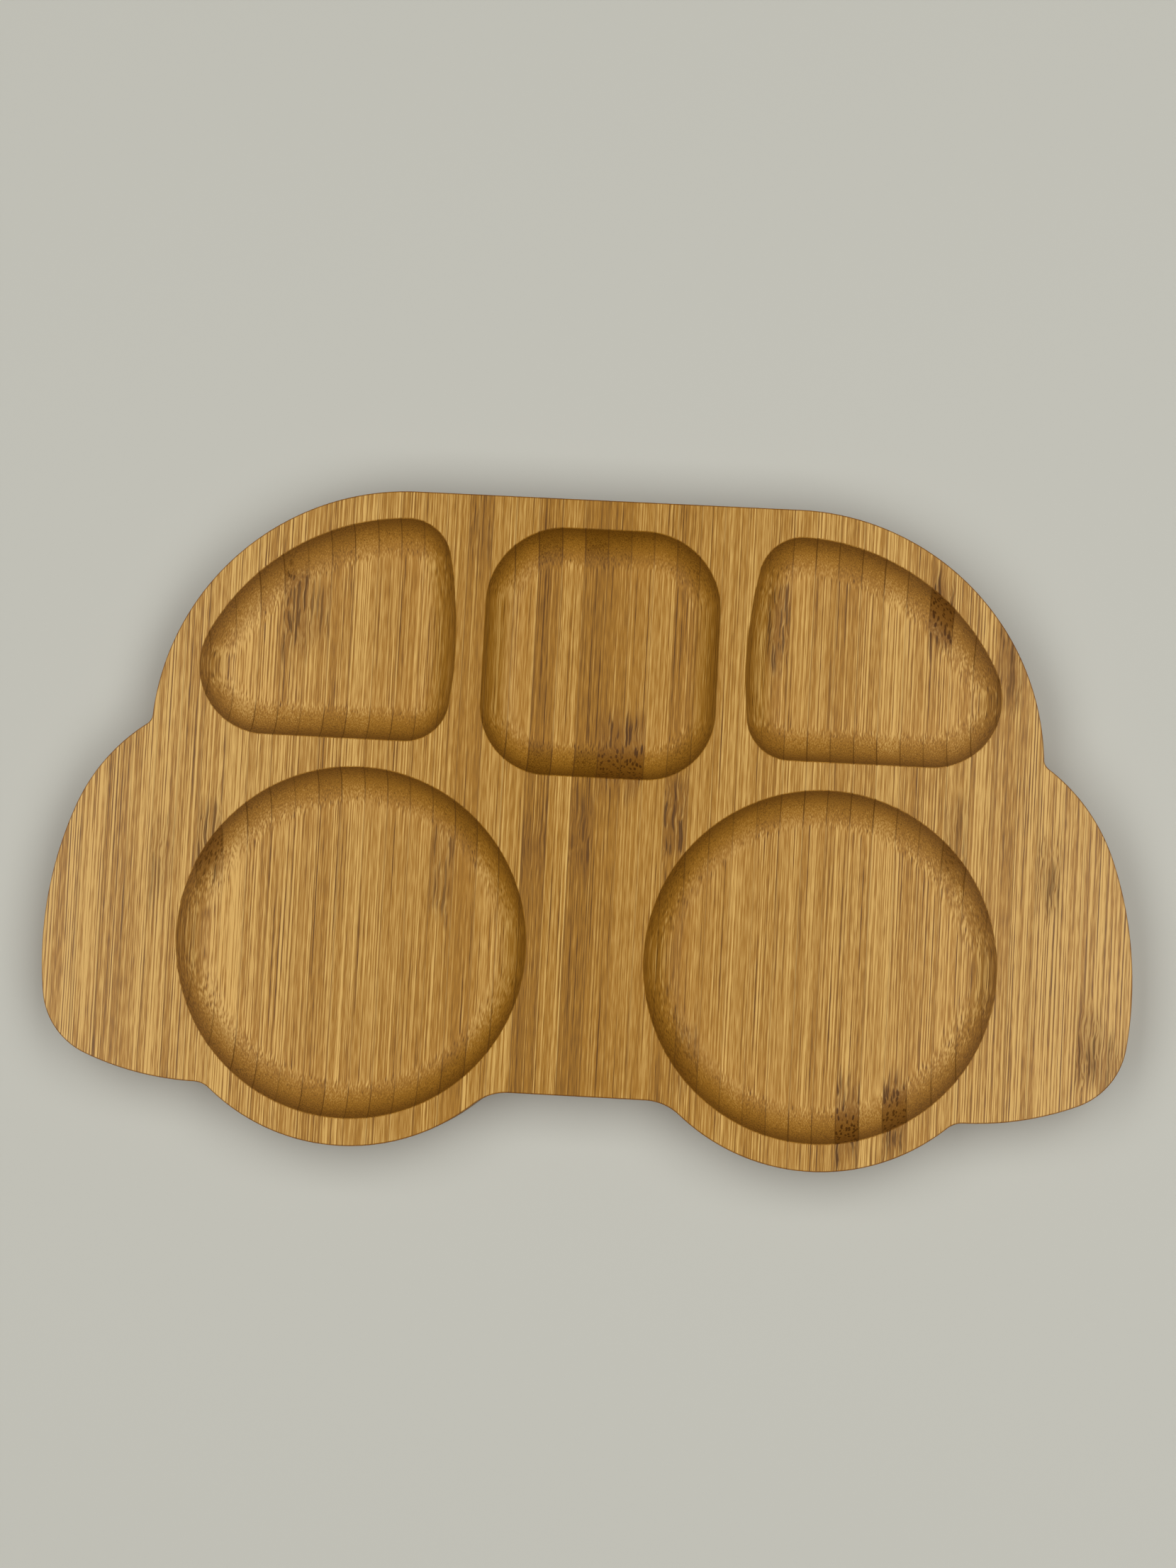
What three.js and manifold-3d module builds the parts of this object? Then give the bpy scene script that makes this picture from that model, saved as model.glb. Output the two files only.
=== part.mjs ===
// A car-shaped bamboo tray with five wells: two wheels and three windows.
// Bamboo strips stand on edge and are glued face to face into a board. The board is routed to the
// outline of a car, and a round-nosed cutter hollows the wells, so that each wall sweeps into its floor.
// Units are millimetres. X runs along the car, Y from its wheels to its roof and Z up. The origin is
// the middle of the underside.
import * as THREE from "three";
import { mergeVertices } from "three/addons/utils/BufferGeometryUtils.js";
import Module from "manifold-3d";

// Bamboo strips
const STRIP = 5.78; // from one seam to the next
const GLUE = 0.1; // glue film in a seam
const SEAM_SHIFT = 0.42; // from the car's mid-line to the nearest seam
const LEAST_END = 1; // a thinner end strip would be sanded away, so it stays part of its neighbour

// Section through the board
const FLOOR = 7; // wood under a well
const WELL_DEPTH = 8;
const COVE_R = 10; // round nose of the cutter that hollows the wells
const EASE = 0.4; // sanded edges

// Wood left between the wells and round them
const RIM = 6.9; // from a well to the outer edge
const WEB = 7.15; // from a wheel well to the window above it
const POST = 7; // from one window to the next
const HEADER = 7.4; // from the centre window to the roof

// Wells
const WHEEL_BASE = 116.3; // between the wheel centres
const WHEEL_D = 87;
const CENTRE_WIDTH = 58.4; // centre window
const CENTRE_HEIGHT = 61.7;
const CENTRE_TOP_R = 19.5;
const CENTRE_BOTTOM_R = 17;
const WINDOW_HEIGHT = 55.55; // side windows
const FLOOR_TURN = 1; // how tightly the cutter turns at a side window's inner corners
const WINDSCREEN_R = 17; // corner where the windscreen meets the window's bottom
const SIDE_BOW = 110; // radius of the bowed side next to the centre window
const SIDE_BOW_UP = 23.8; // its fullest point, above the window's bottom

// Outer edge
const ROOF_FLAT = 95.4;
const SHOULDER_R = 63.3; // from the roof round to the windscreen's foot
const NOTCH_R = 3; // inner corner between windscreen and hood
const HOOD_R = 46.5;
const HOOD_TURN = 20.8; // degrees above level at which the nose curve passes into the hood
const OVERHANG = 76.85; // from a wheel centre to the tip of the nose
const NOSE_R = 95;
const NOSE_DROP = 3.5; // foremost point, below the wheel centres
const BUMPER_R = 18.5;
const SKIRT_R = 74; // underside of the bumper
const SKIRT_OUT = 36.5; // its lowest point, outward of the wheel centre
const SKIRT_DROP = 36.5; // and below it
const SKIRT_FILLET = 6; // inner corner between bumper and wheel arch
const SILL_DROP = 35.1; // edge between the wheels, below the wheel centres
const SILL_FILLET = 13;

// Facets
const CHORD = 0.06; // farthest that a facet lies from its arc
const COVE_STEPS = 5;
const OVERCUT = 2; // how far a cutting body stands clear of the board

const THICKNESS = FLOOR + WELL_DEPTH;
const HEIGHT = 2 * RIM + WHEEL_D + WEB + WINDOW_HEIGHT;
const WHEEL_R = WHEEL_D / 2;
const WHEEL_X = WHEEL_BASE / 2;
const WHEEL_Y = RIM + WHEEL_R - HEIGHT / 2;
const ARCH_R = WHEEL_R + RIM;
const HALF_LENGTH = WHEEL_X + OVERHANG;
const ROOF_Y = HEIGHT / 2;

// Every outline is a belt stretched round discs: a disc with a negative radius lies outside the belt
// and makes an inner corner.
const disc = (x, y, r) => ({ x, y, r });
const mirror = (discs) => discs.map(({ x, y, r }) => disc(-x, y, r)).reverse();

// The place at distance ra from a and rb from b, on the left of the way from a to b, or on its right.
function meeting(a, ra, b, rb, side) {
  const span = Math.hypot(b.x - a.x, b.y - a.y);
  const along = (span * span + ra * ra - rb * rb) / (2 * span);
  const across = side * Math.sqrt(ra * ra - along * along);
  const ux = (b.x - a.x) / span;
  const uy = (b.y - a.y) / span;
  return { x: a.x + along * ux - across * uy, y: a.y + along * uy + across * ux };
}
const LEFT = 1;
const RIGHT = -1;

// A disc of radius r that touches discs a and b.
function touching(a, b, r, side) {
  const { x, y } = meeting(a, a.r - r, b, b.r - r, side);
  return disc(x, y, r);
}

// How many facets keep within CHORD of an arc.
function facets(r, sweep) {
  const step = 2 * Math.acos(1 - CHORD / Math.abs(r));
  return Math.max(1, Math.ceil(Math.abs(sweep) / step));
}

// The belt's points, anticlockwise, each with its outward normal.
function belt(discs) {
  const leave = discs.map((a, i) => {
    const b = discs[(i + 1) % discs.length];
    const span = Math.hypot(b.x - a.x, b.y - a.y);
    const lean = Math.acos(THREE.MathUtils.clamp((a.r - b.r) / span, -1, 1));
    return Math.atan2(b.y - a.y, b.x - a.x) - lean;
  });
  return discs.flatMap(({ x, y, r }, i) => {
    const start = leave.at(i - 1);
    const way = Math.sign(r);
    const sweep = way * THREE.MathUtils.euclideanModulo(way * (leave[i] - start), 2 * Math.PI);
    const steps = facets(r, sweep);
    return Array.from({ length: steps + 1 }, (_, k) => {
      const angle = start + (sweep * k) / steps;
      const nx = Math.cos(angle);
      const ny = Math.sin(angle);
      return { x: x + r * nx, y: y + r * ny, nx, ny };
    });
  });
}

// A solid with one copy of the outline for each [inset, height] of its section, from the bottom up.
function loft(outline, section) {
  const count = outline.length;
  const rings = section.map(([inset, z]) =>
    outline.map(({ x, y, nx, ny }) => [x - inset * nx, y - inset * ny, z]));
  const cap = THREE.ShapeUtils.triangulateShape(outline.map(({ x, y }) => new THREE.Vector2(x, y)), []);
  const top = (section.length - 1) * count;
  const faces = cap.flatMap(([a, b, c]) => [a, c, b, top + a, top + b, top + c]);
  for (let ring = 0; ring < top; ring += count) {
    for (let i = 0; i < count; i++) {
      const a = ring + i;
      const b = ring + ((i + 1) % count);
      faces.push(a, b, b + count, a, b + count, a + count);
    }
  }
  const geometry = new THREE.BufferGeometry();
  geometry.setAttribute("position", new THREE.Float32BufferAttribute(rings.flat(2), 3));
  geometry.setIndex(faces);
  return geometry;
}

// Car outline
const wheel = disc(WHEEL_X, WHEEL_Y, ARCH_R);
const shoulder = disc(ROOF_FLAT / 2, ROOF_Y - SHOULDER_R, SHOULDER_R);
const nose = disc(HALF_LENGTH - NOSE_R, WHEEL_Y - NOSE_DROP, NOSE_R);
const skirt = disc(WHEEL_X + SKIRT_OUT, WHEEL_Y - SKIRT_DROP + SKIRT_R, SKIRT_R);
const hoodTurn = THREE.MathUtils.degToRad(HOOD_TURN);
const hood = disc(
  nose.x + (NOSE_R - HOOD_R) * Math.cos(hoodTurn),
  nose.y + (NOSE_R - HOOD_R) * Math.sin(hoodTurn),
  HOOD_R,
);
const sillY = WHEEL_Y - SILL_DROP - SILL_FILLET;
const sillReach = Math.sqrt((ARCH_R + SILL_FILLET) ** 2 - (sillY - WHEEL_Y) ** 2);
const rightHalf = [
  disc(WHEEL_X - sillReach, sillY, -SILL_FILLET),
  wheel,
  touching(skirt, wheel, -SKIRT_FILLET, LEFT),
  skirt,
  touching(nose, skirt, BUMPER_R, RIGHT),
  nose,
  hood,
  touching(shoulder, hood, -NOTCH_R, LEFT),
  shoulder,
];
const carOutline = belt([...rightHalf, ...mirror(rightHalf)]);

// Centre window
const centreTop = ROOF_Y - HEADER;
const centreBottom = centreTop - CENTRE_HEIGHT;
const centreRight = [
  disc(CENTRE_WIDTH / 2 - CENTRE_BOTTOM_R, centreBottom + CENTRE_BOTTOM_R, CENTRE_BOTTOM_R),
  disc(CENTRE_WIDTH / 2 - CENTRE_TOP_R, centreTop - CENTRE_TOP_R, CENTRE_TOP_R),
];
const centreWindow = belt([...centreRight, ...mirror(centreRight)]);

// Side windows: the windscreen keeps the rim's width inside the shoulder.
const sideBottom = WHEEL_Y + WHEEL_R + WEB;
const innerCorner = COVE_R + FLOOR_TURN;
const windscreen = disc(shoulder.x, shoulder.y, SHOULDER_R - RIM);
const bow = disc(CENTRE_WIDTH / 2 + POST + SIDE_BOW, sideBottom + SIDE_BOW_UP, SIDE_BOW);

// The disc of radius r that stands on the window's bottom and touches a from inside.
function cornerOnBottom(a, r, side) {
  const y = sideBottom + r;
  return disc(a.x + side * Math.sqrt((a.r - r) ** 2 - (y - a.y) ** 2), y, r);
}
const sideDiscs = [
  cornerOnBottom(bow, innerCorner, -1),
  cornerOnBottom(windscreen, WINDSCREEN_R, 1),
  windscreen,
  touching(windscreen, bow, innerCorner, LEFT),
  bow,
];
const sideWindows = [belt(sideDiscs), belt(mirror(sideDiscs))];

// Section of a well from its floor up, as [inset from the rim, height]: the cove, any upright wall above
// it, and the sanded edge.
function wellSection() {
  const rise = Math.min(COVE_R, WELL_DEPTH - EASE);
  const end = Math.acos(1 - rise / COVE_R);
  const rimAngle = Math.acos(1 - Math.min(COVE_R, WELL_DEPTH) / COVE_R);
  const run = COVE_R * Math.sin(rimAngle);
  const section = Array.from({ length: COVE_STEPS + 1 }, (_, k) => {
    const angle = (end * k) / COVE_STEPS;
    return [run - COVE_R * Math.sin(angle), FLOOR + COVE_R * (1 - Math.cos(angle))];
  });
  if (rise < WELL_DEPTH - EASE) section.push([0, THICKNESS - EASE]);
  return [...section, [-EASE, THICKNESS], [-EASE, THICKNESS + OVERCUT]];
}

// A wheel well is the same section turned round the wheel's centre.
function wheelWell(side) {
  const section = wellSection();
  const profile = section.map(([inset, z]) => new THREE.Vector2(WHEEL_R - inset, z));
  const bottom = new THREE.Vector2(0, FLOOR);
  const lid = new THREE.Vector2(0, THICKNESS + OVERCUT);
  const steps = facets(WHEEL_R, 2 * Math.PI);
  const geometry = new THREE.LatheGeometry([bottom, ...profile, lid], steps);
  return geometry.rotateX(Math.PI / 2).translate(side * WHEEL_X, WHEEL_Y, 0);
}

// Solids that can be cut, and their geometry afterwards
const wasm = await Module();
wasm.setup();

function solid(geometry) {
  geometry.deleteAttribute("normal");
  geometry.deleteAttribute("uv");
  const merged = mergeVertices(geometry);
  return new wasm.Manifold(new wasm.Mesh({
    numProp: 3,
    vertProperties: merged.getAttribute("position").array,
    triVerts: new Uint32Array(merged.getIndex().array),
  }));
}

function geometryOf(body) {
  const { vertProperties, triVerts } = body.getMesh();
  const geometry = new THREE.BufferGeometry();
  geometry.setAttribute("position", new THREE.BufferAttribute(vertProperties, 3));
  geometry.setIndex(new THREE.BufferAttribute(triVerts, 1));
  geometry.computeVertexNormals();
  return geometry;
}

// The routed board
const boardSection = [[EASE, 0], [0, EASE], [0, THICKNESS - EASE], [EASE, THICKNESS]];
const wells = [
  wheelWell(-1),
  wheelWell(1),
  ...[centreWindow, ...sideWindows].map((outline) => loft(outline, wellSection())),
];
const blank = solid(loft(carOutline, boardSection));
const board = wells.reduce((body, well) => body.subtract(solid(well)), blank);

// Seams between the strips, and the two tips of the car
const firstSeam = Math.ceil((LEAST_END - HALF_LENGTH - SEAM_SHIFT) / STRIP);
const lastSeam = Math.floor((HALF_LENGTH - LEAST_END - SEAM_SHIFT) / STRIP);
const seamCount = lastSeam - firstSeam + 1;
const seams = Array.from({ length: seamCount }, (_, k) => SEAM_SHIFT + STRIP * (firstSeam + k));
const cuts = [-HALF_LENGTH - OVERCUT, ...seams, HALF_LENGTH + OVERCUT];

// Oiled bamboo varies a little from strip to strip.
const BAMBOO = "#c39a58";
const TONE_SPREAD = 0.035;
const TONE_TURN = 2.4; // radians of tone from one strip to the next, so that no pattern shows

const tray = new THREE.Group();
for (let k = 1; k < cuts.length; k++) {
  const [left, right] = [cuts[k - 1] + GLUE / 2, cuts[k] - GLUE / 2];
  const slab = new THREE.BoxGeometry(right - left, HEIGHT + OVERCUT, 2 * (THICKNESS + OVERCUT));
  slab.translate((left + right) / 2, 0, 0);
  const color = new THREE.Color(BAMBOO).offsetHSL(0, 0, TONE_SPREAD * Math.sin(TONE_TURN * k));
  const material = new THREE.MeshStandardMaterial({ color, roughness: 0.55, metalness: 0 });
  const strip = new THREE.Mesh(geometryOf(board.intersect(solid(slab))), material);
  strip.name = `strip_${String(k).padStart(2, "0")}`;
  tray.add(strip);
}

export default tray;
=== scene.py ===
# %% [markdown]
# # A bamboo tray in the outline of a car
#
# The real tray is a board of bamboo strips that stand on edge and are glued face to face. The board was
# sawn and routed to the outline of a car, a round-nosed cutter hollowed five wells in it, and then it was
# sanded and oiled. It could be modelled here from nothing, but a CAD model already holds its pieces at
# their real size, with plain facets. So that model is loaded as a fixed frame, which nothing here moves or
# resizes, and Blender makes the fine surface over it.

# %% Load the frame
import math
import random
from bisect import bisect
from collections import namedtuple

import bmesh
import bpy
import numpy as np
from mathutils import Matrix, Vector


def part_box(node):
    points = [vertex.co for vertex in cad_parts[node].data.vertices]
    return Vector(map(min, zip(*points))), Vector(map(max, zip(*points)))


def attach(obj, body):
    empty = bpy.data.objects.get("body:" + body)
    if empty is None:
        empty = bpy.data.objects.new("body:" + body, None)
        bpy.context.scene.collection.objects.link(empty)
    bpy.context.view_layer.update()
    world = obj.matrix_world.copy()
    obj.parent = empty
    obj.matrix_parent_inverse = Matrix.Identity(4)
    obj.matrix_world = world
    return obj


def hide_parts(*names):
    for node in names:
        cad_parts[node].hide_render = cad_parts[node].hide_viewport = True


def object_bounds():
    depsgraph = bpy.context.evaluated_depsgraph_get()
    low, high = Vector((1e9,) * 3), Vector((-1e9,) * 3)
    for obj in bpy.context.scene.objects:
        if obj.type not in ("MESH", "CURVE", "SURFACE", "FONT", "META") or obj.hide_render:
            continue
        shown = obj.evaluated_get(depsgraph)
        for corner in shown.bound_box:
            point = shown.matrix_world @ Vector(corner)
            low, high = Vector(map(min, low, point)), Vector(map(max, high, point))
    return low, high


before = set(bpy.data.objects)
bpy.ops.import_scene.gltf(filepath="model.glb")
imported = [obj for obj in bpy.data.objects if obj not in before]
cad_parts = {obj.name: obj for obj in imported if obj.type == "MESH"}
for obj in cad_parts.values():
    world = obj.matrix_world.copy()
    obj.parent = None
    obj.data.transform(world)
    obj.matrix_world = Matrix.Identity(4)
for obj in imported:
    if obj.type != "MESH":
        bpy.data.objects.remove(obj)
cad_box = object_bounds()
MM = 0.001  # Blender's unit is the metre


def in_mm(box):
    """Both corners of a box in millimetres, to print."""
    return [[round(value / MM, 2) for value in corner] for corner in box]


print(f"{len(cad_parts)} CAD pieces in a box of {in_mm(cad_box)} mm")

# %% [markdown]
# ## Wheels
#
# Two round wells are the car's wheels, and the outer edge runs round each of them at the rim's width. They
# could be Blender circles, but the outlines below join arcs of many sizes. So a disc is kept as what a maker
# writes on the drawing of a router's template: a centre and a radius, in millimetres.

# %% Wheels as discs
Disc = namedtuple("Disc", "x y r")
ROOF_Y = cad_box[1].y / MM
RIM = 6.9  # from a well to the outer edge
WHEEL_R = 43.5
WHEEL_X = 58.15  # from the car's mid-line
ARCH_R = WHEEL_R + RIM
WHEEL_Y = ARCH_R - ROOF_Y
wheel = Disc(WHEEL_X, WHEEL_Y, WHEEL_R)
wheel_arch = Disc(WHEEL_X, WHEEL_Y, ARCH_R)
print(f"wheels of {2 * WHEEL_R} mm at x = {WHEEL_X} and y = {WHEEL_Y:.2f} mm")

# %% [markdown]
# ## Windscreen, hood and nose
#
# A router can't turn a sharp corner, so the outline is made of arcs that run smoothly into each other. Arcs
# placed by eye would meet with kinks. Here the large ones are placed by their sizes, and a small one between
# two neighbours is worked out: it is the disc that touches both. A disc with a negative radius lies outside
# the board and makes an inner corner, such as the notch between windscreen and hood.

# %% Windscreen, hood and nose
HALF_LENGTH = 135
ROOF_FLAT = 95.4
SHOULDER_R = 63.3  # from the roof down the windscreen
NOTCH_R = 3
HOOD_R = 46.5
HOOD_TURN = math.radians(20.8)  # above level, where the nose passes into the hood
NOSE_R = 95
NOSE_DROP = 3.5  # foremost point, below the wheel's centre
LEFT, RIGHT = 1, -1  # of the way from one disc to the next


def touching(a, b, r, side):
    """The disc of radius r that touches discs a and b, to the left or right of the way from a to b."""
    way = Vector((b.x - a.x, b.y - a.y))
    along = (way.length_squared + (a.r - r) ** 2 - (b.r - r) ** 2) / (2 * way.length)
    across = side * math.sqrt((a.r - r) ** 2 - along**2)
    ux, uy = way.normalized()
    return Disc(a.x + along * ux - across * uy, a.y + along * uy + across * ux, r)


shoulder = Disc(ROOF_FLAT / 2, ROOF_Y - SHOULDER_R, SHOULDER_R)
nose = Disc(HALF_LENGTH - NOSE_R, WHEEL_Y - NOSE_DROP, NOSE_R)
hood_reach = NOSE_R - HOOD_R
hood = Disc(nose.x + hood_reach * math.cos(HOOD_TURN), nose.y + hood_reach * math.sin(HOOD_TURN), HOOD_R)
notch = touching(shoulder, hood, -NOTCH_R, LEFT)
print(f"notch at x = {notch.x:.1f} and y = {notch.y:.1f} mm")

# %% [markdown]
# ## Bumper, skirt and sill
#
# Below the nose the edge turns under the bumper, follows the skirt to the wheel arch and leaves it again for
# the level sill between the wheels. The bumper's corner and the fillets are found by touching, as above. Both
# sides could be listed, but they are mirror images, so only the right half is, in the order in which a saw
# would pass it.

# %% Bumper, skirt and sill
BUMPER_R = 18.5
SKIRT_R = 74
SKIRT_OUT = 36.5  # lowest point of the skirt, outward of the wheel's centre
SKIRT_DROP = 36.5  # and below it
SKIRT_FILLET = 6  # inner corner between skirt and wheel arch
SILL_DROP = 35.1  # below the wheels' centres
SILL_FILLET = 13
skirt = Disc(WHEEL_X + SKIRT_OUT, WHEEL_Y - SKIRT_DROP + SKIRT_R, SKIRT_R)
sill_y = WHEEL_Y - SILL_DROP - SILL_FILLET
sill_reach = math.sqrt((ARCH_R + SILL_FILLET) ** 2 - (sill_y - WHEEL_Y) ** 2)
right_half = [
    Disc(WHEEL_X - sill_reach, sill_y, -SILL_FILLET),
    wheel_arch,
    touching(skirt, wheel_arch, -SKIRT_FILLET, LEFT),
    skirt,
    touching(nose, skirt, BUMPER_R, RIGHT),
    nose,
    hood,
    notch,
    shoulder,
]
print(f"{len(right_half)} arcs on each side of the car")

# %% [markdown]
# ## The car's edge as a belt
#
# The sawn edge is these arcs and the straight runs between them. A Bezier curve would need handles placed by
# eye. A belt stretched round the discs gives exact arcs and straight runs from nothing but the discs. Each of
# its points keeps its outward normal, so that the outline can be inset evenly and every surface made from it
# knows how it faces.

# %% The car's edge as a belt
LONGEST_STEP = 1.5  # mm along a curve
WIDEST_TURN = math.radians(4)
SAME_POINT = 1e-4  # mm


def mirrored(discs):
    return [Disc(-x, y, r) for x, y, r in reversed(discs)]


def arc(disc, start, sweep):
    """Points on a disc's edge as (x, y, normal x, normal y)."""
    steps = max(1, math.ceil(abs(sweep) * max(1 / WIDEST_TURN, abs(disc.r) / LONGEST_STEP)))
    angles = [start + sweep * k / steps for k in range(steps + 1)]
    normals = [(math.cos(angle), math.sin(angle)) for angle in angles]
    return [(disc.x + disc.r * nx, disc.y + disc.r * ny, nx, ny) for nx, ny in normals]


def belt(discs):
    """Points of a belt stretched round the discs, anticlockwise, with no point doubled."""
    leave = []
    for a, b in zip(discs, discs[1:] + discs[:1]):
        way = Vector((b.x - a.x, b.y - a.y))
        lean = math.acos(max(-1, min(1, (a.r - b.r) / way.length)))
        leave.append(math.atan2(way.y, way.x) - lean)
    points = []
    for disc, start, end in zip(discs, leave[-1:] + leave[:-1], leave):
        sense = math.copysign(1, disc.r)
        points += arc(disc, start, sense * (sense * (end - start) % math.tau))
    return [p for p, q in zip(points, points[1:] + points[:1]) if math.dist(p[:2], q[:2]) > SAME_POINT]


car = belt(right_half + mirrored(right_half))
print(f"car outline: {len(car)} points")

# %% [markdown]
# ## Wheel wells and centre window
#
# The wheels are whole circles. The centre window is a box with four round corners, its lower ones tighter.
# Blender could bevel a rectangle to that shape, but a belt round four discs also gives the normals that the
# wells' walls need.

# %% Wheel wells and centre window
HEADER = 7.4  # from the centre window to the roof
CENTRE_WIDTH = 58.4
CENTRE_HEIGHT = 61.7
CENTRE_TOP_R = 19.5
CENTRE_BOTTOM_R = 17


def span(outline):
    """An outline's size, to print."""
    xs, ys, *_ = zip(*outline)
    return f"{max(xs) - min(xs):.1f} x {max(ys) - min(ys):.1f} mm"


centre_top = ROOF_Y - HEADER
centre_bottom = centre_top - CENTRE_HEIGHT
centre_half = [
    Disc(CENTRE_WIDTH / 2 - CENTRE_BOTTOM_R, centre_bottom + CENTRE_BOTTOM_R, CENTRE_BOTTOM_R),
    Disc(CENTRE_WIDTH / 2 - CENTRE_TOP_R, centre_top - CENTRE_TOP_R, CENTRE_TOP_R),
]
wells = [arc(disc, 0, math.tau)[:-1] for disc in mirrored([wheel]) + [wheel]]
wells.append(belt(centre_half + mirrored(centre_half)))
print("wheels and centre window:", [span(outline) for outline in wells])

# %% [markdown]
# ## Side windows
#
# A side window stands on a level bottom, follows the windscreen at the rim's width and has a bowed side next
# to the centre window. An inset of the car's outline would give the rim, but neither the bottom nor the bow.
# So it is a belt again, and its windscreen arc shares the shoulder's centre, which keeps the rim one width.
# The other window is its mirror image.

# %% Side windows
WEB = 7.15  # from a wheel well to the window above it
POST = 7  # from one window to the next
COVE_R = 10  # round nose of the cutter
INNER_CORNER = COVE_R + 1  # the cutter turns a little wider than its own nose
WINDSCREEN_R = 17  # corner where the windscreen meets the bottom
SIDE_BOW = 110  # radius of the bowed side
SIDE_BOW_UP = 23.8  # its fullest point, above the bottom
TO_NOSE, TO_MIDDLE = 1, -1  # along the car
side_bottom = WHEEL_Y + WHEEL_R + WEB
windscreen = Disc(shoulder.x, shoulder.y, SHOULDER_R - RIM)
bow = Disc(CENTRE_WIDTH / 2 + POST + SIDE_BOW, side_bottom + SIDE_BOW_UP, SIDE_BOW)


def corner_on_bottom(disc, r, way):
    """The disc of radius r that stands on the side window's bottom and touches this disc from inside."""
    y = side_bottom + r
    return Disc(disc.x + way * math.sqrt((disc.r - r) ** 2 - (y - disc.y) ** 2), y, r)


side_window = [
    corner_on_bottom(bow, INNER_CORNER, TO_MIDDLE),
    corner_on_bottom(windscreen, WINDSCREEN_R, TO_NOSE),
    windscreen,
    touching(windscreen, bow, INNER_CORNER, LEFT),
    bow,
]
wells += [belt(side_window), belt(mirrored(side_window))]
print("side windows:", [span(outline) for outline in wells[-2:]])

# %% [markdown]
# ## Section of the outer edge
#
# The outer edge is upright, with its top and bottom edges sanded round. A bevel modifier could round them,
# but a section written as rows of points also says how the surface faces at each row, and that keeps every
# highlight even. A row's wear says how far sanding opened the fibres there, which oil then darkened, and also
# how much painted shade the rounded edge gets there.

# %% Section of the outer edge
Row = namedtuple("Row", "inset z out up wear")  # out and up say how the surface faces
THICKNESS = cad_box[1].z / MM
EASE = 0.4  # mm, radius of the sanded edges
EASE_STEPS = 6


def sanded(middle_z, first, last):
    """A rounded outer edge about a middle at this height, between two angles above level."""
    rows = []
    for angle in np.radians(np.linspace(first, last, EASE_STEPS + 1)):
        out, up = math.cos(angle), math.sin(angle)
        rows.append(Row(EASE * (1 - out), middle_z + EASE * up, out, up, out * abs(up)))
    return rows


edge_section = sanded(EASE, -90, 0) + sanded(THICKNESS - EASE, 0, 90)
print(f"outer edge: {len(edge_section)} rows over {THICKNESS:.1f} mm")

# %% [markdown]
# ## Section of a well
#
# A well's wall is the print of the cutter's round nose: it leaves the floor level and is nearly upright at
# the rim, where sandpaper rounded it over. A boolean cut with a ball-ended body would leave slivers. The same
# row of points as above, carried round a well's outline, gives an even wall.

# %% Section of a well
WELL_DEPTH = 8
FLOOR = THICKNESS - WELL_DEPTH
COVE_STEPS = 18


def cove():
    """A well's wall from its floor to the board's top."""
    run = math.sqrt(COVE_R**2 - (COVE_R - WELL_DEPTH) ** 2)
    end = math.acos(1 - (WELL_DEPTH - EASE) / COVE_R)
    rows = []
    for angle in np.linspace(0, end, COVE_STEPS + 1):
        sine, cosine = math.sin(angle), math.cos(angle)
        rows.append(Row(run - COVE_R * sine, FLOOR + COVE_R * (1 - cosine), -sine, cosine, 0))
    start = Vector((rows[-1].inset, rows[-1].z))
    corner = Vector((start.x - EASE / math.tan(end), THICKNESS))
    finish = Vector((-EASE, THICKNESS))
    for t in np.linspace(0, 1, EASE_STEPS + 1)[1:]:
        first, second = start.lerp(corner, t), corner.lerp(finish, t)
        way = (second - first).normalized()
        rows.append(Row(*first.lerp(second, t), -way.y, -way.x, 0))
    return rows


well_section = cove()
print(f"well: {len(well_section)} rows over {WELL_DEPTH} mm, {FLOOR:.1f} mm of wood under it")

# %% [markdown]
# ## Edge of the board
#
# The routed board is built as one closed skin. Each ring of points follows an outline at one row of its
# section, and faces join each ring to the next. Extruding a filled curve would be shorter, but rings keep two
# values on every point that travel through all later cuts: how the surface faces, and where it is worn and
# painted with shade.

# %% Edge of the board
board = bmesh.new()
facing = board.verts.layers.float_vector.new("facing")
# Wear on the sanded edges, which also carries painted shade.
edge_wear_and_shade = board.verts.layers.float.new("edge_wear_and_shade")


def add_rings(outline, section):
    """Rings of the outline through a section, joined by faces. Returns the first ring and the last."""
    rings = []
    for row in section:
        ring = []
        for x, y, nx, ny in outline:
            place = Vector((x - row.inset * nx, y - row.inset * ny, row.z))
            vert = board.verts.new(place * MM)
            vert[facing] = (row.out * nx, row.out * ny, row.up)
            vert[edge_wear_and_shade] = row.wear
            ring.append(vert)
        rings.append(ring)
    for lower, upper in zip(rings, rings[1:]):
        for i in range(len(outline)):
            board.faces.new((lower[i - 1], lower[i], upper[i], upper[i - 1]))
    return rings[0], rings[-1]


underside, car_top = add_rings(car, edge_section)
print(f"edge of the board: {len(board.faces)} faces")

# %% [markdown]
# ## Wells, top and underside
#
# Each well gets its wall and a level floor. Then Blender's triangle fill closes the top between the car's
# outline and the five rims, and the underside inside its own outline. Five boolean cuts would give the same
# shape with long slivers round the rims. A closed skin has no open edge, so these are counted.

# %% Wells, top and underside
def edges_of(ring):
    return [board.edges.get((ring[i - 1], ring[i])) for i in range(len(ring))]


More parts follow.
